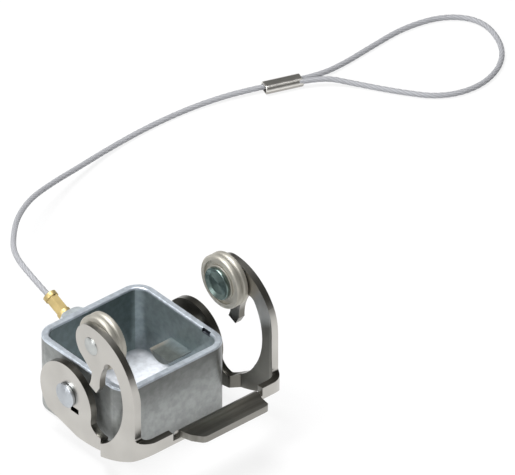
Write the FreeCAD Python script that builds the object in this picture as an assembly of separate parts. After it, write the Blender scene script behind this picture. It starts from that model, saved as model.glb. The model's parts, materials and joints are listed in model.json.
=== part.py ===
import FreeCAD, Part
import math
import os

# Protective cover for a small square plug connector: a die-cast box that lies
# open side up, a folded sheet locking lever on two pivot pins, a roller on
# each lever arm, and a wire rope lanyard with a crimped loop.
# Millimetres. X runs along the pivot axis, -Y towards the lever's handle,
# +Y towards the lanyard, Z up from the closed side that the box rests on.

# Cast box
box_side = 28.0
box_height = 17.5
box_wall = 1.5
box_floor = 1.4
box_corner_radius = 4.2
box_base_round = 1.0
rim_round = 0.35
rim_notch_length = 2.2
rim_notch_depth = 0.8
rim_notch_back = -8.1

# Lever pivot, on the box's two sides
pivot_forward = 0.5
pivot_height = 11.7
trunnion_radius = 3.2
saddle_radius = 3.6
saddle_reach = 5.7
saddle_flat_drop = 1.8

# Folded lever, its outline measured from the pivot: forward, then up
sheet = 1.5
arm_gap = 3.3
fold_radius = 2.3
lobe_centre = (-0.5, -1.1)
lobe_radius = 7.9
roller_forward = 9.6
roller_up = 17.8
roller_lobe_radius = 4.7
band_centre_forward = 9.9
band_centre_up = 9.8
band_radius = 12.7
web_reach = 25.2
web_top = 1.4
web_bottom = -1.3
web_corner = 0.8
lower_edge = [(3.0, -8.8), (12.7, -7.6)]
finger_right = [(12.3, 11.5), (13.4, 14.4)]
hollow_top = [(14.7, 16.2), (16.8, 15.6)]
hollow_right = [(19.2, 8.3), (16.9, 0.1)]
hollow_low = [(14.8, -2.7), (12.2, -4.6)]
hollow_left = (9.5, -5.1)

# Hook finger, its heights measured from the top of the pivot lobe
finger_left = [(9.7, 4.8), (9.5, 3.0), (8.9, 1.3)]
finger_tip = [(11.0, 0.4), (12.1, 2.2)]

# Angles on the lobes' circles where other lines meet them, from forward to up
lobe_low_angle = 224
lobe_back_angle = 110
lobe_hook_angle = -12
crown_angle = 90
lobe_out_angle = 165
lobe_end_angle = 222

# End of the hook hollow: how far it lies behind the pivot lobe's front edge, and its height
hollow_end_inset = 0.1
hollow_end_up = -3.6

# Joggle: the plate round each pivot lies nearer the box than the rest of its arm
joggle = 1.6
joggle_start = 10.9
joggle_end = 12.7
joggle_clearance = 0.2
joggle_round = 0.8

# Handle tongue, bent out of the web's top edge
tongue_reach = 31.1
tongue_crease = 27.8
tongue_top = 1.5
tongue_rise = 0.8
tongue_root_width = 20.2
tongue_edge_width = 16.6
tongue_corner = 1.2
tongue_bend = 0.5
relief_width = 1.5
relief_depth = 1.8

# Window beside the pivot in each arm
window_length = 2.4
window_height = 1.0
window_forward = 1.2
window_up = -2.8

# Pivot pins
pin_radius = 2.0
pin_head_radius = 2.9
pin_head_height = 1.1
pin_head_dome = 0.35

# Rollers and the rivets that carry them
roller_radius = 5.8
roller_width = 2.9
roller_groove_inner = 3.8
roller_groove_outer = 4.7
roller_groove_depth = 0.5
roller_tread_width = 0.8
roller_tread_depth = 0.35
roller_chamfer = 0.25
axle_radius = 2.5
axle_shank_radius = 1.5
axle_button_radius = 3.5
axle_button_height = 0.8
axle_button_edge = 0.2
axle_tail_radius = 2.0
axle_tail_shoulder = 1.7
axle_tail_crown = 0.8
axle_tail_height = 0.45

# Clearances
running_fit = 0.05
close_fit = 0.02
side_play = 0.1

# Lanyard lug on the box's back wall and the brass sleeve on it
lug_offset = -3.3
lug_width = 5.4
lug_reach = 1.7
lug_drop = 0.5
lug_face_height = 4.1
lug_foot = 6.0
lug_round = 1.62
sleeve_rise = 23.0
sleeve_length = 7.3
sleeve_radius = 1.5
sleeve_flats = 2.5
sleeve_collar = 1.3
sleeve_stem_radius = 0.9
sleeve_stem_length = 1.6

# Wire rope: hand placed control points of its route after the sleeve's mouth.
# It falls from the lug, lies on the table, passes the ferrule, loops and returns.
rope_diameter = 1.2
rope_turns = [
    (-3.3, 28.5, 20.3),
    (0.6, 37.8, 17.2),
    (7.5, 46.3, 13.9),
    (15.0, 54.2, 10.5),
    (23.7, 60.8, 7.5),
    (33.5, 65.8, 4.5),
    (44.1, 69.4, 2.2),
    (54.8, 72.2, 0.8),
    (66.1, 73.1, 0.65),
    (77.5, 72.4, 0.65),
    (87.7, 69.4, 1.1),
    (103.8, 63.8, 1.1),
    (112.6, 63.0, 0.65),
    (121.1, 65.9, 0.65),
    (129.9, 65.5, 0.65),
    (139.3, 63.2, 0.65),
    (144.1, 56.8, 0.65),
    (141.6, 47.6, 0.65),
    (135.6, 41.2, 0.65),
    (126.9, 38.5, 0.65),
    (118.5, 41.0, 0.65),
    (113.0, 48.4, 0.65),
    (108.5, 55.9, 0.65),
    (103.1, 62.7, 1.1),
    (95.8, 65.2, 1.1),
]
arc_share = 0.45

# Crimped ferrule over both strands, seated on the route's longest straight run
ferrule_inset = 5.0
ferrule_length = 8.4
ferrule_wall = 0.4
ferrule_round = 0.25
strand_spacing = 1.3

os.makedirs("parts", exist_ok=True)

x_axis = FreeCAD.Vector(1, 0, 0)
z_axis = FreeCAD.Vector(0, 0, 1)
half = box_side / 2
arm_inner = half + arm_gap
arm_outer = arm_inner + sheet
plate_inner = arm_inner - joggle
plate_outer = arm_outer - joggle
lobe_top = lobe_centre[1] + lobe_radius
joggle_height = lobe_top + joggle_clearance


def side(forward, up, x=0.0):
    """Point of the lever's side view, measured from the pivot axis."""
    return FreeCAD.Vector(x, -pivot_forward - forward, pivot_height + up)


def arc(a, b, c):
    return Part.Arc(a, b, c).toShape()


def line(a, b):
    return Part.LineSegment(a, b).toShape()


def prism(edges, start, length):
    """Solid between x = start and start + length on a closed side view."""
    face = Part.Face(Part.Wire(edges))
    face.translate(x_axis * start)
    return face.extrude(x_axis * length)


def rounded_block(width, depth, height, radius):
    """Upright block with round corners, centred on Z, its foot at z = 0."""
    block = Part.makeBox(width, depth, height, FreeCAD.Vector(-width / 2, -depth / 2, 0))
    upright = [e for e in block.Edges if abs(e.Length - height) < 1e-6 and upright_edge(e)]
    return block.makeFillet(radius, upright)


def upright_edge(edge):
    box = edge.BoundBox
    return box.XLength < 1e-6 and box.YLength < 1e-6


def edges_at_height(shape, height):
    found = []
    for edge in shape.Edges:
        box = edge.BoundBox
        if abs(box.ZMin - height) < 1e-4 and abs(box.ZMax - height) < 1e-4:
            found.append(edge)
    return found


def lathe(profile, centre, flip):
    """Turned piece about a line along X; profile holds (along x, radius)."""
    points = [FreeCAD.Vector(along, radius, 0) for along, radius in profile]
    outline = Part.makePolygon(points + [points[0]])
    solid = Part.Face(outline).revolve(FreeCAD.Vector(0, 0, 0), x_axis, 360)
    if flip:
        solid.rotate(FreeCAD.Vector(0, 0, 0), z_axis, 180)
    solid.translate(centre)
    return solid


def cylinder_x(radius, length, start):
    return Part.makeCylinder(radius, length, start, x_axis)


def cast_box():
    outer = rounded_block(box_side, box_side, box_height, box_corner_radius)
    outer = outer.makeFillet(box_base_round, edges_at_height(outer, 0))
    inner_side = box_side - 2 * box_wall
    cavity = rounded_block(inner_side, inner_side, box_height, box_corner_radius - box_wall)
    cavity = cavity.makeFillet(box_base_round, edges_at_height(cavity, 0))
    cavity.translate(z_axis * box_floor)
    shell = outer.cut(cavity)
    return shell.makeFillet(rim_round, edges_at_height(shell, box_height))


def saddle(sign):
    """Half-round ledge on the inner wall, just below the pivot axis."""
    start = half - box_wall - saddle_reach
    bar = cylinder_x(saddle_radius, saddle_reach + box_wall / 2, side(0, 0, start))
    top = side(saddle_radius, -saddle_flat_drop, start)
    clear = Part.makeBox(saddle_reach + box_wall, 2 * saddle_radius, 2 * saddle_radius, top)
    ledge = bar.cut(clear)
    return ledge if sign > 0 else ledge.mirror(FreeCAD.Vector(0, 0, 0), x_axis)


def trunnion(sign):
    length = plate_inner - side_play - half + box_wall / 2
    start = half - box_wall / 2 if sign > 0 else -half + box_wall / 2 - length
    return cylinder_x(trunnion_radius, length, side(0, 0, start))


def sleeve_axis():
    tilt = math.radians(sleeve_rise)
    return FreeCAD.Vector(0, math.cos(tilt), math.sin(tilt))


def lug_face_centre():
    """Middle of the lug's tilted outer face, where the sleeve seats."""
    along = sleeve_axis()
    top = FreeCAD.Vector(lug_offset, half + lug_reach, box_height - lug_drop)
    down = FreeCAD.Vector(0, along.z, -along.y)
    return top + down * (lug_face_height / 2)


def lug():
    along = sleeve_axis()
    down = FreeCAD.Vector(0, along.z, -along.y)
    root = half - box_wall / 2
    start = lug_offset - lug_width / 2
    top_inner = FreeCAD.Vector(0, root, box_height - lug_drop)
    top_outer = FreeCAD.Vector(0, half + lug_reach, box_height - lug_drop)
    low_outer = top_outer + down * lug_face_height
    low_inner = FreeCAD.Vector(0, root, box_height - lug_drop - lug_foot)
    corners = [top_inner, top_outer, low_outer, low_inner, top_inner]
    face = Part.Face(Part.makePolygon(corners))
    face.translate(x_axis * start)
    block = face.extrude(x_axis * lug_width)
    ends = [e for e in block.Edges if is_lug_corner(e)]
    return block.makeFillet(lug_round, ends)


def is_lug_corner(edge):
    """The two edges beside the lug's tilted face."""
    box = edge.BoundBox
    return box.XLength < 1e-6 and box.YMin > half + 0.1 and box.ZLength > 1


def cover_shell():
    shell = cast_box()
    for sign in (-1, 1):
        shell = shell.fuse(trunnion(sign)).fuse(saddle(sign))
    shell = shell.fuse(lug())
    bore_length = box_wall + arm_gap
    bore_radius = pin_radius + close_fit
    shell = shell.cut(cylinder_x(bore_radius, bore_length, side(0, 0, half - box_wall)))
    shell = shell.cut(cylinder_x(bore_radius, bore_length, side(0, 0, -half - arm_gap)))
    seat = lug_face_centre() - sleeve_axis() * (sleeve_stem_length + side_play)
    stem_bore = Part.makeCylinder(
        sleeve_stem_radius + close_fit, sleeve_stem_length + lug_reach, seat, sleeve_axis())
    shell = shell.cut(stem_bore)
    notch_corner = FreeCAD.Vector(
        half - box_wall - rim_notch_depth / 2,
        rim_notch_back - rim_notch_length / 2,
        box_height - rim_notch_depth)
    notch = Part.makeBox(rim_notch_depth, rim_notch_length, 2 * rim_notch_depth, notch_corner)
    return shell.cut(notch).removeSplitter()


def on_circle(forward, up, radius, degrees):
    """Point of the side view on a circle; angles run from forward to up."""
    turn = math.radians(degrees)
    return side(forward + radius * math.cos(turn), up + radius * math.sin(turn))


def arm_outline():
    """Closed side view of the lever: pivot lobe, band, roller lobe, hook finger."""
    lobe_low = on_circle(*lobe_centre, lobe_radius, lobe_low_angle)
    lobe_back = on_circle(*lobe_centre, lobe_radius, lobe_back_angle)
    lobe_hook = on_circle(*lobe_centre, lobe_radius, lobe_hook_angle)
    low, low_arc = [side(*point) for point in lower_edge]
    web_low = side(web_reach, web_bottom)
    web_high = side(web_reach, web_top)
    band_side = on_circle(band_centre_forward, band_centre_up, band_radius, 0)
    band_mid = on_circle(band_centre_forward, band_centre_up, band_radius, 45)
    band_foot = band_centre_forward + band_radius
    crown = on_circle(roller_forward, roller_up, roller_lobe_radius, crown_angle)
    lobe_out = on_circle(roller_forward, roller_up, roller_lobe_radius, lobe_out_angle)
    lobe_end = on_circle(roller_forward, roller_up, roller_lobe_radius, lobe_end_angle)
    neck, finger_mid, barb = [side(forward, lobe_top + up) for forward, up in finger_left]
    tip, tip_right = [side(forward, lobe_top + up) for forward, up in finger_tip]
    finger_bow, finger_root = [side(*point) for point in finger_right]
    top_arc, top_end = [side(*point) for point in hollow_top]
    right_arc, right_end = [side(*point) for point in hollow_right]
    low_bow, low_end = [side(*point) for point in hollow_low]
    left_arc = side(*hollow_left)
    left_end = side(lobe_centre[0] + lobe_radius - hollow_end_inset, hollow_end_up)
    return [
        line(lobe_low, low),
        arc(low, low_arc, web_low),
        line(web_low, web_high),
        line(web_high, side(band_foot + web_corner, web_top)),
        arc(
            side(band_foot + web_corner, web_top),
            on_circle(band_foot + web_corner, web_top + web_corner, web_corner, 225),
            side(band_foot, web_top + web_corner)),
        line(side(band_foot, web_top + web_corner), band_side),
        arc(band_side, band_mid, crown),
        arc(crown, lobe_out, lobe_end),
        line(lobe_end, neck),
        arc(neck, finger_mid, barb),
        line(barb, tip),
        line(tip, tip_right),
        arc(tip_right, finger_bow, finger_root),
        arc(finger_root, top_arc, top_end),
        arc(top_end, right_arc, right_end),
        arc(right_end, low_bow, low_end),
        arc(low_end, left_arc, left_end),
        line(left_end, lobe_hook),
        arc(lobe_hook, lobe_back, lobe_low),
    ]


def folded_channel():
    """The sheet's plan view: two arms and the web, with round folds."""
    height = pivot_height + roller_up + 2 * roller_lobe_radius
    back = lobe_radius - lobe_centre[0] + sheet
    outer_depth = web_reach + 2 * back
    outer = rounded_block(2 * arm_outer, outer_depth, height, fold_radius + sheet)
    outer.translate(FreeCAD.Vector(0, outer_depth / 2 - web_reach - pivot_forward, 0))
    inner_depth = outer_depth + 2 * back
    inner = rounded_block(2 * arm_inner, inner_depth, height, fold_radius)
    inner.translate(FreeCAD.Vector(0, inner_depth / 2 - web_reach + sheet - pivot_forward, 0))
    return outer.cut(inner)


def joggled_plates():
    """Plan of both arms up to the joggle's end, drawn tall: near the box, then outward."""
    slope = math.atan2(joggle, joggle_end - joggle_start)
    shift = sheet * math.tan(slope / 2)
    back = lobe_centre[0] - lobe_radius - sheet
    end = joggle_end + sheet
    inner = [(back, plate_inner), (joggle_start, plate_inner), (joggle_end, arm_inner), (end, arm_inner)]
    outer = [
        (end, arm_outer), (joggle_end - shift, arm_outer),
        (joggle_start - shift, plate_outer), (back, plate_outer)]
    corners = [FreeCAD.Vector(x, -pivot_forward - forward, 0) for forward, x in inner + outer]
    plan = Part.Face(Part.makePolygon(corners + [corners[0]]))
    plate = plan.extrude(z_axis * (pivot_height + joggle_height))
    bends = [e for e in plate.Edges if upright_edge(e) and is_bend(e)]
    plate = plate.makeFillet(joggle_round, bends)
    return plate.fuse(plate.mirror(FreeCAD.Vector(0, 0, 0), x_axis))


def is_bend(edge):
    forward = -pivot_forward - edge.BoundBox.YMin
    return joggle_start - sheet < forward < joggle_end + sheet / 2


def tongue():
    """Handle bent out of the web's top edge, creased along its middle."""
    low = tongue_top - sheet
    top_rise = tongue_top + tongue_rise
    root = web_reach - sheet
    bend_forward = web_reach + tongue_bend
    bend_up = low - tongue_bend
    under = tongue_crease + sheet * tongue_rise / (tongue_reach - tongue_crease) / 2
    edges = [
        line(side(root, web_bottom), side(web_reach, web_bottom)),
        line(side(web_reach, web_bottom), side(web_reach, bend_up)),
        arc(
            side(web_reach, bend_up),
            on_circle(bend_forward, bend_up, tongue_bend, 135),
            side(bend_forward, low)),
        line(side(bend_forward, low), side(under, low)),
        line(side(under, low), side(tongue_reach, top_rise - sheet)),
        line(side(tongue_reach, top_rise - sheet), side(tongue_reach, top_rise)),
        line(side(tongue_reach, top_rise), side(tongue_crease, tongue_top)),
        line(side(tongue_crease, tongue_top), side(bend_forward, tongue_top)),
        arc(
            side(bend_forward, tongue_top),
            on_circle(bend_forward, bend_up, tongue_bend + sheet, 135),
            side(root, bend_up)),
        line(side(root, bend_up), side(root, web_bottom)),
    ]
    return prism(edges, -tongue_root_width / 2, tongue_root_width).common(tongue_plan())


def tongue_plan():
    """Upright prism with the tongue's tapered plan and round corners."""
    back = -pivot_forward - web_reach + 2 * sheet
    root = -pivot_forward - web_reach
    edge = -pivot_forward - tongue_reach
    wide = tongue_root_width / 2
    narrow = tongue_edge_width / 2
    corners = [
        FreeCAD.Vector(-wide, back, 0), FreeCAD.Vector(-wide, root, 0),
        FreeCAD.Vector(-narrow, edge, 0), FreeCAD.Vector(narrow, edge, 0),
        FreeCAD.Vector(wide, root, 0), FreeCAD.Vector(wide, back, 0),
        FreeCAD.Vector(-wide, back, 0),
    ]
    plan = Part.Face(Part.makePolygon(corners)).extrude(z_axis * 2 * pivot_height)
    front = [e for e in plan.Edges if upright_edge(e) and abs(e.BoundBox.YMin - edge) < 1e-6]
    return plan.makeFillet(tongue_corner, front)


def locking_lever():
    blank = prism(arm_outline(), -arm_outer, 2 * arm_outer)
    plate_corner = side(joggle_end, -2 * lobe_radius, -2 * arm_outer)
    plate_zone = Part.makeBox(
        4 * arm_outer, 4 * lobe_radius, 2 * lobe_radius + joggle_height, plate_corner)
    lever = blank.common(folded_channel()).cut(plate_zone)
    lever = lever.fuse(blank.common(plate_zone).common(joggled_plates()))
    relief_span = tongue_root_width + 2 * relief_width
    relief_corner = side(tongue_reach, web_top - relief_depth, -relief_span / 2)
    relief_run = tongue_reach - band_centre_forward
    relief = Part.makeBox(relief_span, relief_run, 2 * relief_depth, relief_corner)
    lever = lever.cut(relief).fuse(tongue())
    pivot_bore = cylinder_x(pin_radius + running_fit, 2 * arm_outer, side(0, 0, -arm_outer))
    rivet_bore = cylinder_x(
        axle_shank_radius + close_fit, 2 * arm_outer, side(roller_forward, roller_up, -arm_outer))
    window_corner = side(
        window_forward + window_length / 2, window_up - window_height / 2, -arm_outer)
    window = Part.makeBox(2 * arm_outer, window_length, window_height, window_corner)
    return lever.cut(pivot_bore).cut(rivet_bore).cut(window).removeSplitter()


def pivot_pin(sign):
    """Rivet with a low button head outside the arm, its shank in the casting."""
    inner = half - box_wall
    under = plate_outer + side_play
    top = under + pin_head_height
    profile = [
        (inner, 0), (top, 0),
        (top - 0.08, pin_head_radius * 0.45),
        (top - pin_head_dome, pin_head_radius * 0.85),
        (top - 2 * pin_head_dome, pin_head_radius),
        (under, pin_head_radius), (under, pin_radius), (inner, pin_radius),
    ]
    return lathe(profile, side(0, 0), sign < 0)


def roller(sign):
    """Ring with a groove in its tread and a ring groove in its free face."""
    near = arm_inner - side_play
    far = near - roller_width
    middle = (near + far) / 2
    bore = axle_radius + running_fit
    chamfer = roller_chamfer
    tread = roller_tread_width / 2
    profile = [
        (near, bore), (near, roller_radius - chamfer), (near - chamfer, roller_radius),
        (middle + tread, roller_radius), (middle + tread / 2, roller_radius - roller_tread_depth),
        (middle - tread / 2, roller_radius - roller_tread_depth), (middle - tread, roller_radius),
        (far + chamfer, roller_radius), (far, roller_radius - chamfer),
        (far, roller_groove_outer), (far + roller_groove_depth, roller_groove_outer),
        (far + roller_groove_depth, roller_groove_inner), (far, roller_groove_inner),
        (far, bore),
    ]
    return lathe(profile, side(roller_forward, roller_up), sign < 0)


def roller_axle(sign):
    """Shouldered rivet: button towards the box, shoulder, shank and formed tail."""
    shoulder = arm_inner - 2 * side_play - roller_width
    button = shoulder - axle_button_height
    tail = arm_outer + axle_tail_height
    edge = axle_button_edge
    profile = [
        (button, 0), (button, axle_button_radius - edge), (button + edge, axle_button_radius),
        (shoulder, axle_button_radius), (shoulder, axle_radius), (arm_inner, axle_radius),
        (arm_inner, axle_shank_radius), (arm_outer, axle_shank_radius),
        (arm_outer, axle_tail_radius), (tail - axle_tail_height / 2, axle_tail_shoulder),
        (tail, axle_tail_crown), (tail, 0),
    ]
    return lathe(profile, side(roller_forward, roller_up), sign < 0)


def lanyard_sleeve():
    """Brass crimp sleeve: round collars, a pressed hexagon and a stem in the lug."""
    along = sleeve_axis()
    seat = lug_face_centre()
    body = Part.makeCylinder(sleeve_radius, sleeve_length, seat, along)
    pressed = sleeve_length - 2 * sleeve_collar
    ring = Part.makeCylinder(2 * sleeve_radius, pressed, seat + along * sleeve_collar, along)
    corner = sleeve_flats / math.sqrt(3)
    points = []
    for k in range(7):
        turn = math.radians(60 * k)
        points.append(FreeCAD.Vector(corner * math.cos(turn), corner * math.sin(turn), 0))
    hexagon = Part.Face(Part.makePolygon(points)).extrude(z_axis * sleeve_length)
    hexagon.Placement = FreeCAD.Placement(seat, FreeCAD.Rotation(z_axis, along))
    body = body.cut(ring.cut(hexagon))
    start = seat - along * sleeve_stem_length
    stem = Part.makeCylinder(sleeve_stem_radius, sleeve_stem_length, start, along)
    return body.fuse(stem).removeSplitter()


def rope_points():
    """The route's control points, the first in the middle of the sleeve's mouth."""
    mouth = lug_face_centre() + sleeve_axis() * sleeve_length
    return [mouth] + [FreeCAD.Vector(x, y, z) for x, y, z in rope_turns]


def rope_path(points):
    """Straight runs joined by tangent arcs, each as large as its runs allow."""
    edges = []
    radii = []
    start = points[0]
    for before, corner, after in zip(points, points[1:], points[2:]):
        back = before - corner
        ahead = after - corner
        short = min(back.Length, ahead.Length)
        reach = arc_share * short
        turn = math.pi - back.getAngle(ahead)
        radius = reach / math.tan(turn / 2)
        back.normalize()
        ahead.normalize()
        enter = corner + back * reach
        leave = corner + ahead * reach
        inward = back + ahead
        inward.normalize()
        middle = corner + inward * (radius / math.cos(turn / 2) - radius)
        edges.append(line(start, enter))
        edges.append(arc(enter, middle, leave))
        radii.append(radius)
        start = leave
    edges.append(line(start, points[-1]))
    return Part.Wire(edges), radii


def lanyard_rope():
    points = rope_points()
    path, radii = rope_path(points)
    along = points[1] - points[0]
    section = Part.Wire(Part.makeCircle(rope_diameter / 2, points[0], along))
    tube = path.makePipeShell([section], True, False)
    expected = math.pi * (rope_diameter / 2) ** 2 * path.Length
    print("rope length", round(path.Length, 2), "volume share", round(tube.Volume / expected, 4))
    print("rope radii", [round(radius, 1) for radius in radii])
    return tube


def stadium(width, height, length):
    """Oval bar along Z, its long side across Y."""
    reach = (width - height) / 2
    r = height / 2
    a = FreeCAD.Vector(r, -reach, 0)
    b = FreeCAD.Vector(r, reach, 0)
    c = FreeCAD.Vector(-r, reach, 0)
    d = FreeCAD.Vector(-r, -reach, 0)
    top = FreeCAD.Vector(0, reach + r, 0)
    bottom = FreeCAD.Vector(0, -reach - r, 0)
    wire = Part.Wire([line(a, b), arc(b, top, c), line(c, d), arc(d, bottom, a)])
    return Part.Face(wire).extrude(z_axis * length)


def crimp_ferrule():
    """Oval tube over the two strands, in line with the route's ferrule run."""
    points = rope_points()
    lengths = [(after - before).Length for before, after in zip(points, points[1:])]
    longest = lengths.index(max(lengths))
    first = points[longest]
    along = points[longest + 1] - first
    along.normalize()
    sideways = z_axis.cross(along)
    middle = first + along * ferrule_inset - sideways * (strand_spacing / 2)
    bore_height = rope_diameter + 2 * running_fit
    bore_width = strand_spacing + bore_height
    wall = 2 * ferrule_wall
    body = stadium(bore_width + wall, bore_height + wall, ferrule_length)
    body = body.makeFillet(ferrule_round, edges_at_height(body, 0))
    body = body.makeFillet(ferrule_round, edges_at_height(body, ferrule_length))
    bore = stadium(bore_width, bore_height, ferrule_length)
    tube = body.cut(bore)
    turn = FreeCAD.Rotation(z_axis.cross(sideways), sideways, along, "ZYX")
    tube.Placement = FreeCAD.Placement(middle, turn)
    return tube


def save(name, shape):
    solids = shape.Solids
    print(name, "solids", len(solids), "volume", round(shape.Volume, 2), "valid", shape.isValid())
    solid = solids[0] if len(solids) == 1 else Part.makeCompound(solids)
    solid.exportStep("parts/" + name + ".step")


save("cover_shell", cover_shell())
save("locking_lever", locking_lever())
for name, sign in (("left", -1), ("right", 1)):
    save("pivot_pin_" + name, pivot_pin(sign))
    save("roller_" + name, roller(sign))
    save("roller_axle_" + name, roller_axle(sign))
save("lanyard_sleeve", lanyard_sleeve())
save("lanyard_rope", lanyard_rope())
save("crimp_ferrule", crimp_ferrule())
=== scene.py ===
# %% [markdown]
# # Protective cover for a small square connector
# This notebook dresses a finished CAD model: a die-cast box that lies open side up, a folded
# sheet locking lever with two rollers, and a wire rope lanyard with a crimped loop.
# The CAD file decides the sizes and places. Blender adds the lanyard's rope with its twisted
# ribs, soft edges that catch the light, the surface of each metal, and a few small forms
# that were read more clearly later.

# %% Load the frame
import json
import math

import bmesh
import bpy
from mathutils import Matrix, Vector


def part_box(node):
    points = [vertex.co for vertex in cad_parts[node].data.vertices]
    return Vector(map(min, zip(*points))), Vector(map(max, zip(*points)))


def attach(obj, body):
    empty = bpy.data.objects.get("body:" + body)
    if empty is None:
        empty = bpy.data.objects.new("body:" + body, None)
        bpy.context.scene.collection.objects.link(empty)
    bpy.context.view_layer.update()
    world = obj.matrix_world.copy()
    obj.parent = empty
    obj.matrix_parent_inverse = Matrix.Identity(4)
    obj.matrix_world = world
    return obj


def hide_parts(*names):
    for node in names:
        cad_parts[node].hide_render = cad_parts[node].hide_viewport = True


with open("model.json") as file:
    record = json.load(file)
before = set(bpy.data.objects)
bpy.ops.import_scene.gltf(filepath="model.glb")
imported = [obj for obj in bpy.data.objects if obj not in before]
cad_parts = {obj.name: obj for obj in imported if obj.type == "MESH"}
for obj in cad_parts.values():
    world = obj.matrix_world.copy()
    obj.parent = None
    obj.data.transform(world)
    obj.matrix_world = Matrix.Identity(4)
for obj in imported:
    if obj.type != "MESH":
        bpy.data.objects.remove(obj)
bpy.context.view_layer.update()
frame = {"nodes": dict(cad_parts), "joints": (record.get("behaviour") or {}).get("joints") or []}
scene = bpy.context.scene
mm = 0.001

# %% [markdown]
# ## Camera
# The photo is almost free of perspective, so the camera stands two metres away behind a very
# long lens. Its two angles, the scale and the place of one known point in the picture were
# fitted to corners of the box and the lever. The lens follows from scale and distance: a
# sensor as wide as the picture shows 515 pixels at the photo's scale.

# %% Camera
picture_width, picture_height = 515, 475
view_azimuth = math.radians(-40.57)
view_elevation = math.radians(35.41)
pixels_per_metre = 5012
camera_distance = 2.0
sensor_width = 36
known_point = Vector((0, 0, 10 * mm))
known_pixel = (131.98, 366.81)

view = Vector((
    -math.sin(view_azimuth) * math.cos(view_elevation),
    math.cos(view_azimuth) * math.cos(view_elevation),
    -math.sin(view_elevation)))
right = Vector((math.cos(view_azimuth), math.sin(view_azimuth), 0))
up = right.cross(view)
aim = known_point + right * ((picture_width / 2 - known_pixel[0]) / pixels_per_metre)
aim += up * ((known_pixel[1] - picture_height / 2) / pixels_per_metre)

camera_data = bpy.data.cameras.new("camera")
camera_data.sensor_width = sensor_width
camera_data.lens = sensor_width * pixels_per_metre * camera_distance / picture_width
camera = bpy.data.objects.new("camera", camera_data)
camera.location = aim - view * camera_distance
camera.rotation_euler = view.to_track_quat("-Z", "Y").to_euler()
scene.collection.objects.link(camera)
scene.camera = camera
print("lens, mm:", round(camera_data.lens, 1))

# %% [markdown]
# ## Node helpers
# Every material and tree below is built from the same few steps: add a node, fill in its
# plain values, and link it. A few helpers do these steps, so that each material's own cell
# shows only what is special about that metal.

# %% Node helpers
def add_node(tree, kind, settings=None, **inputs):
    """A node with some attributes and inputs set; an input may be a value or an output."""
    node = tree.nodes.new(kind)
    for name, value in (settings or {}).items():
        setattr(node, name, value)
    for name, value in inputs.items():
        key = int(name[1:]) if name[1:].isdigit() else name.replace("_", " ")
        socket = node.inputs[key]
        if isinstance(value, bpy.types.NodeSocket):
            tree.links.new(value, socket)
        else:
            socket.default_value = value
    return node


def math_node(tree, operation, a, b=0.0, c=0.0):
    return add_node(tree, "ShaderNodeMath", {"operation": operation}, i0=a, i1=b, i2=c).outputs[0]


def fade(tree, value, start, end, top=1.0):
    """0 where the value is at the start, the top value where it is at the end."""
    return add_node(
        tree, "ShaderNodeMapRange", Value=value, From_Min=start, From_Max=end, To_Max=top).outputs[0]


def blend_colours(tree, factor, first, second, low=0.0, high=1.0):
    """A colour that goes from the first to the second between two values of the factor."""
    ramp = add_node(tree, "ShaderNodeValToRGB", Fac=factor)
    for stop, position, colour in zip(ramp.color_ramp.elements, (low, high), (first, second)):
        stop.position = position
        stop.color = (*colour, 1)
    return ramp.outputs["Color"]


def mix_colours(tree, factor, first, second):
    return add_node(
        tree, "ShaderNodeMix", {"data_type": "RGBA"}, i0=factor, i6=first, i7=second).outputs[2]


def object_place(tree):
    """A point in the piece's own coordinates."""
    return add_node(tree, "ShaderNodeTexCoord").outputs["Object"]


def object_parts(tree):
    """The X, Y and Z of that point."""
    return add_node(tree, "ShaderNodeSeparateXYZ", Vector=object_place(tree)).outputs


# %% [markdown]
# ## Floor, light and background
# The photo's ground is white, with only a trace of shadow. The floor is a pale sheet that
# glows white to the camera and in reflections, mixed with a plain pale surface that takes
# the shadow. The camera sees a white background, but the metal mirrors a room that is light
# grey near the horizon and almost black overhead: in the photo, metal that faces up goes
# dark, while metal that faces sideways mirrors the bright table. Two square lamps light the
# piece, one from above and a weaker one from the side.

# %% Floor and light
floor_half = 3.0
floor_drop = 0.1 * mm
floor_tone = (0.86, 0.86, 0.87)
glow_share = 0.86
room_horizon = (0.60, 0.60, 0.60)
room_overhead = (0.05, 0.05, 0.045)
horizon_height, overhead_height = 0.03, 0.35


def mesh_object(name, points, faces):
    mesh = bpy.data.meshes.new(name)
    mesh.from_pydata(points, [], faces)
    made = bpy.data.objects.new(name, mesh)
    scene.collection.objects.link(made)
    return made


corners = [(x * floor_half, y * floor_half) for x, y in ((-1, -1), (1, -1), (1, 1), (-1, 1))]
floor = mesh_object("floor", [(x, y, -floor_drop) for x, y in corners], [(0, 1, 2, 3)])
floor_material = bpy.data.materials.new("floor")
floor_material.use_nodes = True
tree = floor_material.node_tree
tree.nodes.clear()
path = add_node(tree, "ShaderNodeLightPath")
seen = math_node(tree, "MAXIMUM", path.outputs["Is Camera Ray"], path.outputs["Is Glossy Ray"])
share = math_node(tree, "MULTIPLY", seen, glow_share)
sheet = add_node(tree, "ShaderNodeBsdfDiffuse", Color=(*floor_tone, 1))
glow = add_node(tree, "ShaderNodeEmission", Color=(1, 1, 1, 1), Strength=1.0)
mix = add_node(tree, "ShaderNodeMixShader", i0=share, i1=sheet.outputs[0], i2=glow.outputs[0])
add_node(tree, "ShaderNodeOutputMaterial", Surface=mix.outputs[0])
floor.data.materials.append(floor_material)

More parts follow.
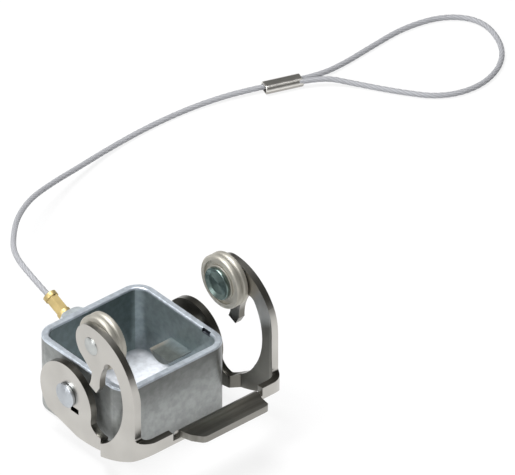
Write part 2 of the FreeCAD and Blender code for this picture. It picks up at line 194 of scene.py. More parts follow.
world = bpy.data.worlds.new("studio")
scene.world = world
world.use_nodes = True
tree = world.node_tree
tree.nodes.clear()
path = add_node(tree, "ShaderNodeLightPath")
direction = add_node(tree, "ShaderNodeTexCoord")
height = add_node(tree, "ShaderNodeSeparateXYZ", Vector=direction.outputs["Generated"])
room = blend_colours(
    tree, height.outputs["Z"], room_horizon, room_overhead, horizon_height, overhead_height)
room_light = add_node(tree, "ShaderNodeBackground", Color=room, Strength=1.0)
white = add_node(tree, "ShaderNodeBackground", Color=(1, 1, 1, 1), Strength=1.0)
mix = add_node(
    tree, "ShaderNodeMixShader", i0=path.outputs["Is Camera Ray"],
    i1=room_light.outputs[0], i2=white.outputs[0])
add_node(tree, "ShaderNodeOutputWorld", Surface=mix.outputs[0])

lamps = [
    ("top", (-0.05, 0.10, 0.58), 0.30, 4.5),
    ("side", (-0.50, 0.02, 0.35), 0.40, 1.9),
]
for name, place, size, power in lamps:
    lamp = bpy.data.lights.new(name, "AREA")
    lamp.size = size
    lamp.energy = power
    holder = bpy.data.objects.new(name, lamp)
    holder.location = place
    holder.rotation_euler = (known_point - Vector(place)).to_track_quat("-Z", "Y").to_euler()
    scene.collection.objects.link(holder)
scene.view_settings.view_transform = "Standard"
print("lamps:", len(lamps))

# %% [markdown]
# ## The lanyard's rope
# The rope leaves the sleeve upwards, falls to the table, runs along it, passes the ferrule,
# makes the loop and returns into the ferrule, its last turn lifted a little over the first
# strand. A smooth NURBS line with listed control points is the natural form for it: it
# rounds every corner between its points, so it doesn't kink.

# %% Rope route
rope_diameter = 1.2 * mm
rope_turns = [
    (-3.3, 21.7, 17.0),
    (-3.7, 28.2, 19.7),
    (0.6, 37.8, 17.2),
    (7.5, 46.3, 13.9),
    (15.0, 54.2, 10.5),
    (23.7, 60.8, 7.5),
    (33.2, 65.5, 4.5),
    (43.6, 68.9, 2.2),
    (54.3, 71.6, 0.8),
    (65.6, 72.5, 0.65),
    (77.2, 72.0, 0.65),
    (87.7, 69.4, 1.1),
    (103.1, 63.4, 1.1),
    (110.7, 63.5, 0.65),
    (119.4, 64.5, 0.65),
    (129.9, 65.5, 0.65),
    (139.3, 63.2, 0.65),
    (144.1, 56.8, 0.65),
    (141.6, 47.6, 0.65),
    (135.6, 41.2, 0.65),
    (126.9, 38.5, 0.65),
    (118.5, 41.0, 0.65),
    (113.0, 48.4, 0.65),
    (108.5, 55.9, 0.65),
    (103.1, 62.0, 1.9),
    (95.8, 65.2, 1.1),
]


def rope_line():
    line = bpy.data.curves.new("rope_line", "CURVE")
    line.dimensions = "3D"
    line.resolution_u = 24
    spline = line.splines.new("NURBS")
    spline.points.add(len(rope_turns) - 1)
    for point, (x, y, z) in zip(spline.points, rope_turns):
        point.co = (x * mm, y * mm, z * mm, 1)
    spline.order_u = 3
    spline.use_endpoint_u = True
    made = bpy.data.objects.new("rope_line", line)
    scene.collection.objects.link(made)
    return made


def evaluated_mesh(source, name):
    """A plain mesh of what an object shows, modifiers and all."""
    graph = bpy.context.evaluated_depsgraph_get()
    graph.update()
    mesh = bpy.data.meshes.new_from_object(source.evaluated_get(graph), depsgraph=graph)
    mesh.name = name
    return mesh


route = rope_line()
route_points = [v.co.copy() for v in evaluated_mesh(route, "route").vertices]

# %% [markdown]
# ## Ribs of the rope
# The real rope is laid from thin wires. The photo shows it too small to count them, so the
# usual six strands round a core are taken: the section is a soft six-lobed flower that turns
# slowly along the rope. Six separate helices would work, but one swept section is lighter.
# Geometry Nodes tilt the line by its own length, shape the flower from a circle, and sweep
# it. The depth between two ribs is kept as an attribute, which the material reads to paint
# shade into the grooves.

# %% Rope by Geometry Nodes
strands = 6
lay_length = 9.0 * mm
rib_depth = 0.035 * mm
section_points = 30
step_length = 0.45 * mm


def tree_with_inputs(name, sizes):
    """An empty geometry tree with a line or mesh input and one named number for each size."""
    tree = bpy.data.node_groups.new(name, "GeometryNodeTree")
    tree.interface.new_socket("Geometry", in_out="INPUT", socket_type="NodeSocketGeometry")
    for label in sizes:
        tree.interface.new_socket(label, in_out="INPUT", socket_type="NodeSocketFloat")
    tree.interface.new_socket("Geometry", in_out="OUTPUT", socket_type="NodeSocketGeometry")
    return tree, tree.nodes.new("NodeGroupInput")


def shaped_by_nodes(source, tree, sizes, name):
    """Run a geometry tree on an object and keep the result as a plain mesh object."""
    modifier = source.modifiers.new(tree.name, "NODES")
    modifier.node_group = tree
    for item in tree.interface.items_tree:
        if item.in_out == "INPUT" and item.name in sizes:
            modifier[item.identifier] = sizes[item.name]
    mesh = evaluated_mesh(source, name)
    source.modifiers.remove(modifier)
    made = bpy.data.objects.new(name, mesh)
    scene.collection.objects.link(made)
    return made


def rope_tree(material):
    sizes = ["Radius", "Rib depth", "Lay length", "Step"]
    tree, inputs = tree_with_inputs("ribbed_rope", sizes)
    even = add_node(
        tree, "GeometryNodeResampleCurve", {"mode": "LENGTH"},
        Curve=inputs.outputs["Geometry"], Length=inputs.outputs["Step"])
    along = add_node(tree, "GeometryNodeSplineParameter").outputs["Length"]
    turns = math_node(tree, "DIVIDE", along, inputs.outputs["Lay length"])
    tilt = math_node(tree, "MULTIPLY", turns, 2 * math.pi)
    twisted = add_node(tree, "GeometryNodeSetCurveTilt", Curve=even.outputs[0], Tilt=tilt)
    circle = add_node(
        tree, "GeometryNodeCurvePrimitiveCircle", {"mode": "RADIUS"},
        Resolution=section_points, Radius=inputs.outputs["Radius"])
    index = add_node(tree, "GeometryNodeInputIndex").outputs[0]
    angle = math_node(tree, "MULTIPLY", index, 2 * math.pi * strands / section_points)
    groove = math_node(tree, "MULTIPLY_ADD", math_node(tree, "COSINE", angle), -0.5, 0.5)
    cut = math_node(tree, "MULTIPLY", groove, inputs.outputs["Rib depth"])
    cut_share = math_node(tree, "DIVIDE", cut, inputs.outputs["Radius"])
    shrink = math_node(tree, "SUBTRACT", 1.0, cut_share)
    place = add_node(tree, "GeometryNodeInputPosition").outputs[0]
    scaled = add_node(
        tree, "ShaderNodeVectorMath", {"operation": "SCALE"}, i0=place, Scale=shrink)
    flower = add_node(
        tree, "GeometryNodeSetPosition", Geometry=circle.outputs[0], Position=scaled.outputs[0])
    stored = add_node(
        tree, "GeometryNodeStoreNamedAttribute", {"data_type": "FLOAT", "domain": "POINT"},
        Geometry=flower.outputs[0], Name="groove", Value=groove)
    swept = add_node(
        tree, "GeometryNodeCurveToMesh", Curve=twisted.outputs[0],
        Profile_Curve=stored.outputs[0], Fill_Caps=True)
    smooth = add_node(tree, "GeometryNodeSetShadeSmooth", Geometry=swept.outputs[0])
    real = add_node(tree, "GeometryNodeRealizeInstances", Geometry=smooth.outputs[0])
    finish = add_node(tree, "GeometryNodeSetMaterial", Geometry=real.outputs[0], Material=material)
    add_node(tree, "NodeGroupOutput", Geometry=finish.outputs[0])
    return tree


# %% [markdown]
# ## Surface effects shared by the metals
# Two effects come back on several metals, so each is a node group with its own inputs.
# "fine grain" is the even, slightly pebbled skin of a coated casting or a tumbled sheet:
# small bumps for the highlight, and a broad, faint change of tone. "turned rings" are the
# marks that a lathe leaves on a round piece: rings about a line along X.

# %% Shared shader groups
def shader_group(name, inputs, outputs):
    """An empty shader group whose inputs and outputs are all plain numbers."""
    group = bpy.data.node_groups.new(name, "ShaderNodeTree")
    for in_out, labels in (("INPUT", inputs), ("OUTPUT", outputs)):
        for label in labels:
            group.interface.new_socket(label, in_out=in_out, socket_type="NodeSocketFloat")
    return group, group.nodes.new("NodeGroupInput")


def fine_grain_group():
    """Height of small bumps, and a mask between 0 and 1 for broad changes of tone."""
    group, inputs = shader_group(
        "fine grain", ["Bumps per metre", "Patches per metre"], ["Height", "Tone"])
    place = object_place(group)
    bumps = add_node(
        group, "ShaderNodeTexNoise", Vector=place, Scale=inputs.outputs["Bumps per metre"],
        Detail=3.0, Roughness=0.6)
    patches = add_node(
        group, "ShaderNodeTexNoise", Vector=place, Scale=inputs.outputs["Patches per metre"],
        Detail=2.0, Roughness=0.5)
    add_node(group, "NodeGroupOutput", Height=bumps.outputs[0], Tone=patches.outputs[0])
    return group


def turned_rings_group():
    """Height of fine rings about a line along X through a point of the side view."""
    group, inputs = shader_group(
        "turned rings", ["Centre Y", "Centre Z", "Rings per metre"], ["Height"])
    parts = object_parts(group)
    across = math_node(group, "SUBTRACT", parts["Y"], inputs.outputs["Centre Y"])
    above = math_node(group, "SUBTRACT", parts["Z"], inputs.outputs["Centre Z"])
    across_square = math_node(group, "MULTIPLY", across, across)
    square = math_node(group, "MULTIPLY_ADD", above, above, across_square)
    radius = math_node(group, "SQRT", square)
    wave = math_node(group, "MULTIPLY", radius, inputs.outputs["Rings per metre"])
    height = math_node(group, "SINE", math_node(group, "MULTIPLY", wave, 2 * math.pi))
    add_node(group, "NodeGroupOutput", Height=height)
    return group


fine_grain = fine_grain_group()
turned_rings = turned_rings_group()


def group_node(tree, group, **numbers):
    node = tree.nodes.new("ShaderNodeGroup")
    node.node_tree = group
    for label, value in numbers.items():
        node.inputs[label.replace("_", " ")].default_value = value
    return node


def metal(name, colour, roughness, metallic=1.0):
    """A material with a Principled shader; returns it with its tree and shader."""
    material = bpy.data.materials.new(name)
    material.use_nodes = True
    tree = material.node_tree
    tree.nodes.clear()
    shader = add_node(
        tree, "ShaderNodeBsdfPrincipled",
        Base_Color=(*colour, 1), Roughness=roughness, Metallic=metallic)
    add_node(tree, "ShaderNodeOutputMaterial", Surface=shader.outputs[0])
    return material, tree, shader


def bump(tree, shader, height, depth, strength=1.0):
    node = add_node(tree, "ShaderNodeBump", Height=height, Distance=depth, Strength=strength)
    tree.links.new(node.outputs[0], shader.inputs["Normal"])


# %% [markdown]
# ## Coated casting
# The box is a grey die casting under a thin satin coat, between paint and bare metal, so
# Metallic is 0.6. Its tones by region are painted light and painted shade: bands by height
# on the outer and the inner walls are painted shade and light, the pale rim, floor and lug
# are painted light from above, the two sides are painted lighter, the dark greenish back
# wall, the dark half-round ledges and the dark notch are painted shade, and the lighter back
# end of each ledge is a painted highlight. Ramps and masks on the piece's own coordinates
# place these tones, so no picture is needed. The floor is pale and flat, so it has no metal
# share. A fine pebble breaks the highlights, and the tone drifts a little over the walls.

# %% Casting material
# Painted shade and light by height on the outer walls: darker at the foot and towards the rim,
# lighter in the middle, and a pale rim painted as lit from above.
outer_shade_and_light_tones = [
    (0.0, (0.24, 0.25, 0.245)), (2.5, (0.27, 0.28, 0.275)), (5.0, (0.34, 0.355, 0.35)),
    (8.0, (0.36, 0.375, 0.37)), (11.0, (0.31, 0.325, 0.32)), (14.0, (0.23, 0.24, 0.235)),
    (17.0, (0.19, 0.20, 0.195)), (17.2, (0.60, 0.655, 0.72)),
]
# Painted light and shade by height inside: a pale floor painted as lit from above, darker walls in
# painted shade, and the pale rim in painted light.
inner_shade_and_light_tones = [
    (1.5, (0.72, 0.745, 0.79)), (2.6, (0.20, 0.23, 0.24)), (8.0, (0.24, 0.29, 0.30)),
    (16.8, (0.28, 0.33, 0.34)), (17.2, (0.60, 0.655, 0.72)),
]
# Painted shade on the half-round ledges, and a painted highlight at their back end.
ledge_shade_tone = (0.15, 0.165, 0.155)
glint_tone = (0.50, 0.45, 0.38)
# Painted shade in the notch on the rim.
notch_shade_tone = (0.03, 0.035, 0.045)
# Painted light on the lug, as on the rim.
lug_light_tone = (0.62, 0.67, 0.70)
# Painted shade on the inner back wall.
back_shade_tone = (0.15, 0.19, 0.19)
floor_top = 2.4 * mm
rim_foot = 17.0 * mm
side_face = 13.9 * mm
# Painted light: the two sides are made lighter than the front and back.
side_light_gain = 0.2
lug_face = 14.02 * mm
inner_face = 12.65 * mm
back_face = 12.2 * mm
ledge_foot = 3.5 * mm
ledge_middle = -0.5 * mm
ledge_wall, ledge_front = 12.3 * mm, 9.5 * mm
ledge_outside, ledge_inside = 4.4 * mm, 3.0 * mm
glint_start, glint_end = 1.4 * mm, 3.0 * mm
notch_middle = (12.5 * mm, -8.1 * mm, 17.0 * mm)
notch_reach = (0.45 * mm, 1.2 * mm, 0.44 * mm)
casting_metallic = 0.6
drift_low, drift_high = (0.87, 0.87, 0.87), (1.1, 1.1, 1.1)


def height_ramp(tree, height, tones):
    """Colours at heights given in millimetres."""
    top = tones[-1][0]
    share = math_node(tree, "DIVIDE", height, top * mm)
    ramp = add_node(tree, "ShaderNodeValToRGB", Fac=share)
    stops = ramp.color_ramp.elements
    for level, colour in tones[1:-1]:
        stops.new(level / top).color = (*colour, 1)
    stops[0].position = tones[0][0] / top
    stops[0].color = (*tones[0][1], 1)
    stops[len(tones) - 1].color = (*tones[-1][1], 1)
    return ramp.outputs["Color"]


def inner_region(tree, parts, across, above_floor):
    """Painted shade and light inside the box: bands by height, the shaded back wall and the two
    shaded ledges with a painted highlight.
    """
    below_rim = math_node(tree, "LESS_THAN", parts["Z"], rim_foot)
    on_back = math_node(
        tree, "MULTIPLY", math_node(tree, "GREATER_THAN", parts["Y"], back_face),
        math_node(tree, "MULTIPLY", above_floor, below_rim))
    bands = height_ramp(tree, parts["Z"], inner_shade_and_light_tones)
    walls = mix_colours(tree, on_back, bands, (*back_shade_tone, 1))
    on_ledge = math_node(
        tree, "MULTIPLY", fade(tree, across, ledge_wall, ledge_front),
        math_node(tree, "GREATER_THAN", parts["Z"], ledge_foot))
    off_middle = math_node(
        tree, "ABSOLUTE", math_node(tree, "SUBTRACT", parts["Y"], ledge_middle))
    ledge = math_node(
        tree, "MULTIPLY", on_ledge, fade(tree, off_middle, ledge_outside, ledge_inside))
    at_back = fade(tree, parts["Y"], glint_start, glint_end)
    ledge_colour = mix_colours(tree, at_back, (*ledge_shade_tone, 1), (*glint_tone, 1))
    return mix_colours(tree, ledge, walls, ledge_colour)


def outer_region(tree, parts, across):
    """Painted shade and light outside: bands by height, painted lighter on the two sides, and the
    pale lug in painted light.
    """
    bands = height_ramp(tree, parts["Z"], outer_shade_and_light_tones)
    on_side = math_node(tree, "GREATER_THAN", across, side_face)
    gain = math_node(tree, "MULTIPLY_ADD", on_side, side_light_gain, 1.0)
    sides = add_node(tree, "ShaderNodeVectorMath", {"operation": "SCALE"}, i0=bands, Scale=gain)
    on_lug = math_node(tree, "GREATER_THAN", parts["Y"], lug_face)
    return mix_colours(tree, on_lug, sides.outputs[0], (*lug_light_tone, 1))


def casting_material():
    material, tree, shader = metal("casting", (0.4, 0.43, 0.46), 0.36, casting_metallic)
    parts = object_parts(tree)
    across = math_node(tree, "ABSOLUTE", parts["X"])
    reach = math_node(tree, "MAXIMUM", across, math_node(tree, "ABSOLUTE", parts["Y"]))
    above_floor = math_node(tree, "GREATER_THAN", parts["Z"], floor_top)
    indoors = math_node(tree, "LESS_THAN", reach, inner_face)
    inside = inner_region(tree, parts, across, above_floor)
    region = mix_colours(tree, indoors, outer_region(tree, parts, across), inside)
    # The notch gets its painted shade here.
    in_notch = 1.0
    for axis, middle, size in zip("XYZ", notch_middle, notch_reach):
        off = math_node(tree, "ABSOLUTE", math_node(tree, "SUBTRACT", parts[axis], middle))
        in_notch = math_node(tree, "MULTIPLY", in_notch, math_node(tree, "LESS_THAN", off, size))
    region = mix_colours(tree, in_notch, region, (*notch_shade_tone, 1))
    on_floor = math_node(tree, "MULTIPLY", indoors, math_node(tree, "SUBTRACT", 1.0, above_floor))
    share = math_node(tree, "MULTIPLY_ADD", on_floor, -casting_metallic, casting_metallic)
    tree.links.new(share, shader.inputs["Metallic"])
    grain = group_node(tree, fine_grain, Bumps_per_metre=2600.0, Patches_per_metre=750.0)
    drift = blend_colours(tree, grain.outputs["Tone"], drift_low, drift_high, 0.35, 0.65)
    tone = add_node(tree, "ShaderNodeVectorMath", {"operation": "MULTIPLY"}, i0=region, i1=drift)
    tree.links.new(tone.outputs[0], shader.inputs["Base Color"])
    bump(tree, shader, grain.outputs["Height"], 0.03 * mm)
    return material


casting = casting_material()

# %% [markdown]
# ## Lever sheet
# The lever is stamped and folded from sheet steel. Its outer faces are smooth and mirror the
# table. Its cut edges, its tongue and the faces turned towards the box get a dark tone that
# is painted reflection of the dark room and painted shade near the box. The mesh carries a
# number between 0 and 1 for each face, "cut", and the material mixes a bright and a dark
# tone by it. Streaks break up the dark tone, and on those faces the painted shade is
# stronger low down on the lever and on the hook's finger.

# %% Lever material
# Painted shade and painted reflection: the dark tone that the "cut" share mixes in.
shade_and_reflection_tone = (0.115, 0.11, 0.093)
bright_tones = (0.49, 0.475, 0.445), (0.58, 0.565, 0.53)
streak_stretch = (0.04, 1.0, 0.3)
streak_gain, streak_base = -1.5, 1.65
# More painted shade low down on the lever and on the hook's finger.
low_start, low_end, low_share = 14.0 * mm, 7.0 * mm, 0.7
finger_start, finger_end, finger_share = 25.0 * mm, 22.5 * mm, 0.85
finger_front = -13.3 * mm


def lever_material():
    material, tree, shader = metal("lever_sheet", (0.6, 0.58, 0.54), 0.3)
    place, parts = object_place(tree), object_parts(tree)
    grain = group_node(tree, fine_grain, Bumps_per_metre=1400.0, Patches_per_metre=120.0)
    bright = blend_colours(tree, grain.outputs["Tone"], *bright_tones, 0.3, 0.7)
    # The "cut" share marks where painted shade and painted reflection go.
    cut = add_node(tree, "ShaderNodeAttribute", {"attribute_name": "cut"}).outputs["Fac"]
    stretched = add_node(
        tree, "ShaderNodeVectorMath", {"operation": "MULTIPLY"}, i0=place, i1=streak_stretch)
    streaks = add_node(
        tree, "ShaderNodeTexNoise",
        Vector=stretched.outputs[0], Scale=520.0, Detail=2.0, Roughness=0.5)
    light = math_node(tree, "MULTIPLY_ADD", streaks.outputs[0], streak_gain, streak_base)
    share = math_node(tree, "MULTIPLY", cut, math_node(tree, "MINIMUM", light, 1.0))
    low = fade(tree, parts["Z"], low_start, low_end, low_share)
    finger = math_node(
        tree, "MULTIPLY", fade(tree, parts["Z"], finger_start, finger_end, finger_share),
        math_node(tree, "GREATER_THAN", parts["Y"], finger_front))
    darker = math_node(tree, "MAXIMUM", low, finger)
    marked = math_node(tree, "MULTIPLY", darker, math_node(tree, "GREATER_THAN", cut, 0.01))
    share = math_node(tree, "MAXIMUM", share, marked)
    colour = mix_colours(tree, share, bright, (*shade_and_reflection_tone, 1))
    tree.links.new(colour, shader.inputs["Base Color"])
    bump(tree, shader, grain.outputs["Height"], 0.02 * mm, 0.6)
    return material


lever_sheet = lever_material()

# %% [markdown]
# ## Turned and formed pieces
# Pins, rollers and rivets are turned or headed round, so the fine rings on them matter more
# than their colour: they draw the highlight out into a fan. The rings are centred on the
# pivot for the pins and on the roller's own axis for the rollers and rivets, both read from
# the CAD boxes. The rivet's button towards the box gets a darker, greener tone, a painted
# reflection of the box's inner walls, on that side of the arm.

# %% Turned materials
button_reach = 15.0 * mm
# Painted reflection of the box's greenish inner walls on the button towards the box.
button_reflection_tone = (0.20, 0.265, 0.25)


def centre_of(node):
    low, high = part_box(node)
    return (low + high) / 2


def patchy(tree, shader, grain, colour, dark_share, high):
    """Base colour that drifts between a darker share of a colour and the colour itself."""
    darker = [channel * dark_share for channel in colour]
    tone = blend_colours(tree, grain.outputs["Tone"], darker, colour, 0.3, high)
    tree.links.new(tone, shader.inputs["Base Color"])


def turned_material(name, node, colour, roughness):
    material, tree, shader = metal(name, colour, roughness)
    middle = centre_of(node)
    marks = group_node(
        tree, turned_rings, Centre_Y=middle.y, Centre_Z=middle.z, Rings_per_metre=4500.0)
    grain = group_node(tree, fine_grain, Bumps_per_metre=3000.0, Patches_per_metre=250.0)
    patchy(tree, shader, grain, colour, 0.78, 0.62)
    bump(tree, shader, marks.outputs["Height"], 0.012 * mm)
    return material


def recolour_within(material, axis, reach, colour):
    """Another tone wherever a coordinate, its sign left out, is below a reach."""
    tree = material.node_tree
    shader = next(node for node in tree.nodes if node.type == "BSDF_PRINCIPLED")
    plain = shader.inputs["Base Color"].links[0].from_socket
    size = math_node(tree, "ABSOLUTE", object_parts(tree)[axis])
    within = math_node(tree, "LESS_THAN", size, reach)
    mixed = mix_colours(tree, within, plain, (*colour, 1))
    tree.links.new(mixed, shader.inputs["Base Color"])


pin_steel = turned_material("pin_steel", "pivot_pin_left", (0.56, 0.595, 0.63), 0.34)
roller_steel = turned_material("roller_steel", "roller_left", (0.60, 0.58, 0.52), 0.58)
axle_steel = turned_material("axle_steel", "roller_axle_left", (0.56, 0.58, 0.57), 0.3)
recolour_within(axle_steel, "X", button_reach, button_reflection_tone)

# %% [markdown]
# ## Brass, nickel and rope
# The sleeve is brass, warm and rather dull. The ferrule is nickel plated, a soft mirror that
# takes its light and dark from the room, with painted shade on its lower half. The rope is
# mid grey with hardly any shine, with painted shade in the grooves between its ribs.

# %% Small materials
# Painted shade on the lower half of the ferrule.
ferrule_shade_tone = (0.40, 0.385, 0.36)


def plain_metal(name, colour, roughness, bumps, depth, metallic=1.0):
    material, tree, shader = metal(name, colour, roughness, metallic)
    grain = group_node(tree, fine_grain, Bumps_per_metre=bumps, Patches_per_metre=300.0)
    patchy(tree, shader, grain, colour, 0.8, 0.6)
    bump(tree, shader, grain.outputs["Height"], depth * mm)
    return material


def rope_material():
    material, tree, shader = metal("rope_steel", (0.4, 0.41, 0.43), 0.7, metallic=0.0)
    groove = add_node(tree, "ShaderNodeAttribute", {"attribute_name": "groove"}).outputs["Fac"]
    # Painted shade: darker where the groove attribute is high, between the ribs.
    tone = blend_colours(tree, groove, (0.40, 0.405, 0.425), (0.28, 0.285, 0.305))
    tree.links.new(tone, shader.inputs["Base Color"])
    shader.inputs["Coat Weight"].default_value = 0.05
    shader.inputs["Coat Roughness"].default_value = 0.35
    return material


sleeve_brass = plain_metal("sleeve_brass", (0.56, 0.435, 0.195), 0.48, 1800.0, 0.01, metallic=0.7)
ferrule_nickel = plain_metal("ferrule_nickel", (0.80, 0.78, 0.74), 0.36, 1500.0, 0.015)
# The ferrule's lower half gets its painted shade here.
recolour_within(ferrule_nickel, "Z", centre_of("crimp_ferrule").z, ferrule_shade_tone)
rope_steel = rope_material()

# %% [markdown]
# ## Soft edges on the CAD pieces
# A CAD mesh has knife-sharp corners, and real metal never does. Each CAD piece is copied,
# its loose triangles are merged, flat areas are joined to single faces, and a small bevel is
# added, so that every edge catches a line of light. The copy stands for the CAD node, which
# stays in the file for its sizes and collisions.

# %% Softened copies
merge_distance = 0.0005 * mm
flat_angle = math.radians(0.6)


def join_flat_faces(work):
    bmesh.ops.dissolve_limit(
        work, angle_limit=flat_angle, verts=work.verts, edges=work.edges, delimit={"NORMAL"})


def merged_copy(node, touch=None):
    """A clean copy of a CAD node's mesh, its flat areas joined to single faces."""
    mesh = frame["nodes"][node].data.copy()
    work = bmesh.new()
    work.from_mesh(mesh)
    bmesh.ops.remove_doubles(work, verts=work.verts, dist=merge_distance)
    join_flat_faces(work)
    if touch:
        touch(work)
        join_flat_faces(work)
    work.to_mesh(mesh)
    work.free()
    mesh.materials.clear()
    made = bpy.data.objects.new(node + "_finished", mesh)
    scene.collection.objects.link(made)
    return made


def soften(piece, width, segments=2, angle=25):
    """Bevel the sharp edges, then shade smooth with the large faces kept flat."""
    bevel = piece.modifiers.new("edge", "BEVEL")
    bevel.width = width
    bevel.segments = segments
    bevel.limit_method = "ANGLE"
    bevel.angle_limit = math.radians(angle)
    for face in piece.data.polygons:
        face.use_smooth = True
    weighted = piece.modifiers.new("flat faces", "WEIGHTED_NORMAL")
    weighted.weight = 100
    mesh = evaluated_mesh(piece, piece.name)
    piece.modifiers.clear()
    piece.data = mesh
    return piece


def finish_node(node, body, material, width):
    piece = soften(merged_copy(node, touches.get(node)), width)
    piece.data.materials.append(material)
    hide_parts(node)
    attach(piece, body)
    print(node, "faces", len(piece.data.polygons))
    return piece


# %% [markdown]
# ## Small forms set right on the copies
# A few small forms were read more clearly in the photo after the CAD sizes were fixed. They
# are set on the copies: the pin's head is a little smaller, so that the window beside it
# stays open, the pin ends inside the wall, and a thin disc closes its bore on the inner
# wall. The rivet's button is dished, the roller's groove is shallow, the sleeve is shorter,
# the lever's window sits further forward, and the tongue stands off centre.

# %% Small forms
pivot_line = next(Vector(j["pos_m"]) for j in frame["joints"] if j["name"] == "lever_pivot")
roller_line = centre_of("roller_left")
sleeve_seat = Vector((-3.3, 16.5, 15.11)) * mm
sleeve_line = Vector((0, math.cos(math.radians(23)), math.sin(math.radians(23))))
sleeve_share = 5.7 / 7.3
# Radii that the points have: from, to, and the one they get
pin_head = (2.7 * mm, 3.0 * mm, 2.6 * mm)
pin_dome = (2.4 * mm, 2.5 * mm, 2.2 * mm)
tread_groove = (5.4 * mm, 5.5 * mm, 5.68 * mm)
pin_inner_reach, pin_end = 12.6 * mm, 13.0 * mm
button_rim, button_dish, button_slack = 0.8 * mm, 0.5 * mm, 0.01 * mm
disc_points = 48
disc_radius = 2.06 * mm
disc_plane = 12.49 * mm
ledge_top = 9.9 * mm
tongue_offset = 0.7 * mm
window_forward = 1.1 * mm
window_lower_rise, window_upper_rise = 0.1 * mm, 0.3 * mm
# Where the points of the tongue and the window stand, in millimetres
tongue_root, tongue_reach = -24.1, 11.8
window_reach = 17.5
window_back, window_front = -0.4, -3.0
window_low, window_middle, window_high = 8.3, 9, 9.5


def distance_from(line, place):
    return math.hypot(place.y - line.y, place.z - line.z)


def set_radius(work, line, low, high, radius):
    """Move the points between two radii about a line along X to one radius."""
    for vert in work.verts:
        old = distance_from(line, vert.co)
        if low < old < high:
            vert.co.y = line.y + (vert.co.y - line.y) * radius / old
            vert.co.z = line.z + (vert.co.z - line.z) * radius / old


def touch_pin(work):
    set_radius(work, pivot_line, *pin_head)
    set_radius(work, pivot_line, *pin_dome)
    for vert in work.verts:
        if abs(vert.co.x) < pin_inner_reach:
            vert.co.x = math.copysign(pin_end, vert.co.x)


def touch_roller(work):
    set_radius(work, roller_line, *tread_groove)


def touch_axle(work):
    """Press a dish into the flat face of the button."""
    inner = min(abs(vert.co.x) for vert in work.verts)
    disc = [
        face for face in work.faces
        if abs(abs(face.calc_center_median().x) - inner) < button_slack]
    bmesh.ops.inset_region(work, faces=disc, thickness=button_rim, use_even_offset=True)
    for vert in {vert for face in disc for vert in face.verts}:
        vert.co.x += math.copysign(button_dish, vert.co.x)


def touch_sleeve(work):
    for vert in work.verts:
        along = (vert.co - sleeve_seat).dot(sleeve_line)
        if along > 0:
            vert.co -= sleeve_line * along * (1 - sleeve_share)


def touch_cover(work):
    """Close each bore behind its pin with a thin disc, so that the inner wall is whole."""
    for side in (-1, 1):
        ring = []
        for step in range(disc_points):
            angle = 2 * math.pi * step / disc_points
            y = pivot_line.y + disc_radius * math.cos(angle)
            z = max(pivot_line.z + disc_radius * math.sin(angle), ledge_top)
            ring.append(work.verts.new((side * disc_plane, y, z)))
        disc = work.faces.new(ring)
        disc.normal_update()
        if disc.normal.x * side > 0:
            disc.normal_flip()


def touch_lever(work):
    """Set the window, 0.2 mm taller, and the tongue where the photo has them."""
    for vert in work.verts:
        place = vert.co / mm
        if place.y < tongue_root and abs(place.x) < tongue_reach:
            vert.co.x += tongue_offset
        beside = abs(place.x) < window_reach and window_front < place.y < window_back
        if beside and window_low < place.z < window_high:
            vert.co.y -= window_forward
            vert.co.z += window_lower_rise if place.z < window_middle else window_upper_rise


touches = {
    "pivot_pin_left": touch_pin, "pivot_pin_right": touch_pin,
    "roller_left": touch_roller, "roller_right": touch_roller,
    "roller_axle_left": touch_axle, "roller_axle_right": touch_axle,
    "lanyard_sleeve": touch_sleeve, "cover_shell": touch_cover, "locking_lever": touch_lever,
}

pieces = [  # CAD node, body, slot, material, width of the soft edge in millimetres
    ("pivot_pin_left", "cover", "pin_steel", pin_steel, 0.06),
    ("pivot_pin_right", "cover", "pin_steel", pin_steel, 0.06),
    ("roller_left", "left_roller", "roller_steel", roller_steel, 0.08),
    ("roller_right", "right_roller", "roller_steel", roller_steel, 0.08),
    ("roller_axle_left", "lever", "axle_steel", axle_steel, 0.06),
    ("roller_axle_right", "lever", "axle_steel", axle_steel, 0.06),
    ("lanyard_sleeve", "cover", "sleeve_brass", sleeve_brass, 0.06),
    ("crimp_ferrule", "cover", "ferrule_nickel", ferrule_nickel, 0.05),
    ("cover_shell", "cover", "casting", casting, 0.15),
]
for node, body, slot, material, width in pieces:
    finish_node(node, body, material, width * mm)

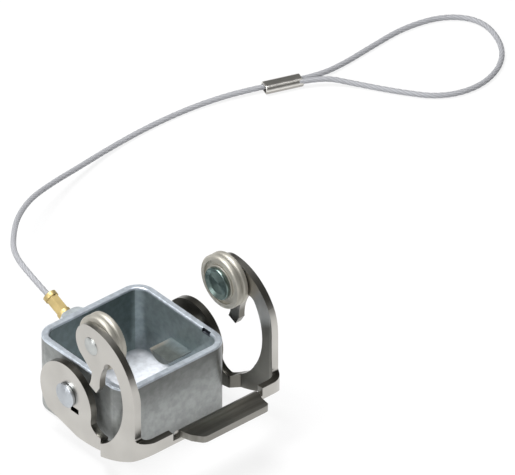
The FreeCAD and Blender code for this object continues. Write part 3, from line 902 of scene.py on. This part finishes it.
# %% [markdown]
# ## Faces and cut edges of the lever
# Each face of the folded sheet gets its share of the dark tone, painted reflection and
# painted shade, by where it stands and which way it looks. On the arms the punched outline
# is every face that doesn't look along X, and the faces turned towards the box are the ones
# whose normal points to the middle. Both get the most painted shade on the round plates at
# the pins. The tongue is dark all over, and the web only on its upper and lower edges.

# %% Lever
lever_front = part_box("locking_lever")[0].y
web_depth = 4.0 * mm
tongue_depth = 5.9 * mm
tongue_half = 10.1 * mm
plate_front = -12.0 * mm
plate_top = 20.0 * mm
tongue_share, edge_share = 0.8, 0.9
arm_edge_share, arm_inner_share = 0.4, 0.3
web_edge_slope, arm_edge_slope = 0.6, 0.55


def shade_and_reflection_share(face):
    """The share of the painted dark tone, painted shade and painted reflection: 0 on a bright outer
    face, up to 0.9 on a cut edge.
    """
    centre, normal = face.center, face.normal
    across = abs(centre.x - tongue_offset)
    if centre.y < lever_front + tongue_depth and across < tongue_half:
        return tongue_share
    if centre.y < lever_front + tongue_depth + web_depth:
        return edge_share if abs(normal.z) > web_edge_slope else 0.0
    on_plate = centre.y > plate_front and centre.z < plate_top
    if abs(normal.x) < arm_edge_slope:
        return edge_share if on_plate else arm_edge_share
    if normal.x * centre.x >= 0:
        return 0.0
    return edge_share if on_plate else arm_inner_share


lever = finish_node("locking_lever", "lever", lever_sheet, 0.12 * mm)
shares = [shade_and_reflection_share(face) for face in lever.data.polygons]
# The "cut" attribute carries each face's share of painted shade and painted reflection.
lever.data.attributes.new("cut", "FLOAT", "FACE").data.foreach_set("value", shares)
print("dark faces", sum(share > 0.5 for share in shares))

# %% [markdown]
# ## Rope in place
# The swept rope replaces its CAD tube. The photo shows it from the sleeve to the ferrule, so
# the length seen is all the length it has.

# %% Rope piece
rope = shaped_by_nodes(route, rope_tree(rope_steel), {
    "Radius": rope_diameter / 2,
    "Rib depth": rib_depth,
    "Lay length": lay_length,
    "Step": step_length,
}, "lanyard_rope_coated")
bpy.data.objects.remove(route)
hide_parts("lanyard_rope")
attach(rope, "cover")
print("rope faces", len(rope.data.polygons))
